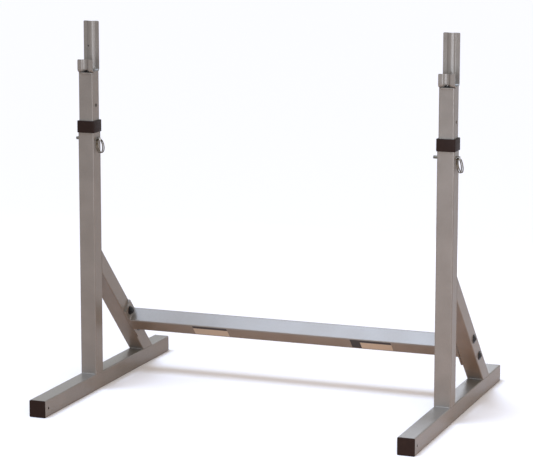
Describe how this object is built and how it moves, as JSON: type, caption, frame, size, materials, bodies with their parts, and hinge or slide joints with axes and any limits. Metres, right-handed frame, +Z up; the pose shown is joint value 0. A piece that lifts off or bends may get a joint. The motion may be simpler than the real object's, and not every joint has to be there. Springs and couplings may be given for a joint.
{
  "type": "squat stand",
  "caption": "Free-standing squat stand: braced uprights tied by a low beam, each with a height-adjustable bar hook held by a ring pin.",
  "frame": {"origin": "on the floor, midway between the two side frames and midway along their bases", "axes": "+X across the stand to its right-hand upright, +Y from front to back, +Z up"},
  "size_m": [1.2031, 0.908, 1.1234],
  "materials": {
    "paint": "silver-grey powder coat, satin",
    "black_plastic": "moulded, satin",
    "black_steel": "black oxide, semi-gloss",
    "zinc": "zinc plated",
    "nickel": "yellow-brown plated wire"
  },
  "bodies": {
    "frame": {"left_base_tube": "paint", "left_fixed_upright": "paint", "left_brace": "paint", "left_front_cap": "black_plastic", "left_rear_cap": "black_plastic", "left_collar": "black_plastic", "left_end_plate": "paint", "left_bolts": "black_steel", "left_washers": "black_steel", "left_nuts": "black_steel", "right_base_tube": "paint", "right_fixed_upright": "paint", "right_brace": "paint", "right_front_cap": "black_plastic", "right_rear_cap": "black_plastic", "right_collar": "black_plastic", "right_end_plate": "paint", "right_bolts": "black_steel", "right_washers": "black_steel", "right_nuts": "black_steel", "cross_beam": "paint"},
    "left_slider": {"left_inner_upright": "paint", "left_glide": "black_plastic", "left_bar_hook": "paint"},
    "left_pin": {"left_locking_pin": "zinc", "left_detent_ball": "zinc", "left_detent_spring": "zinc"},
    "left_ring": {"left_pull_ring": "nickel"},
    "right_slider": {"right_inner_upright": "paint", "right_glide": "black_plastic", "right_bar_hook": "paint"},
    "right_pin": {"right_locking_pin": "zinc", "right_detent_ball": "zinc", "right_detent_spring": "zinc"},
    "right_ring": {"right_pull_ring": "nickel"}
  },
  "joints": [
    {"name": "left_height", "type": "slide", "parent": "frame", "child": "left_slider", "axis": [0, 0, 1], "range_m": [-0.1016, 0.508]},
    {"name": "left_pin_pull", "type": "slide", "parent": "frame", "child": "left_pin", "axis": [1, 0, 0], "range_m": [0, 0.09]},
    {"name": "left_ring_swing", "type": "hinge", "parent": "left_pin", "child": "left_ring", "pos_m": [-0.5282, -0.078, 0.7708], "axis": [0, -1, 0], "range_deg": [-12, 138]},
    {"name": "right_height", "type": "slide", "parent": "frame", "child": "right_slider", "axis": [0, 0, 1], "range_m": [-0.1016, 0.508]},
    {"name": "right_pin_pull", "type": "slide", "parent": "frame", "child": "right_pin", "axis": [1, 0, 0], "range_m": [0, 0.09]},
    {"name": "right_ring_swing", "type": "hinge", "parent": "right_pin", "child": "right_ring", "pos_m": [0.5894, -0.078, 0.7708], "axis": [0, -1, 0], "range_deg": [-12, 138]}
  ]
}
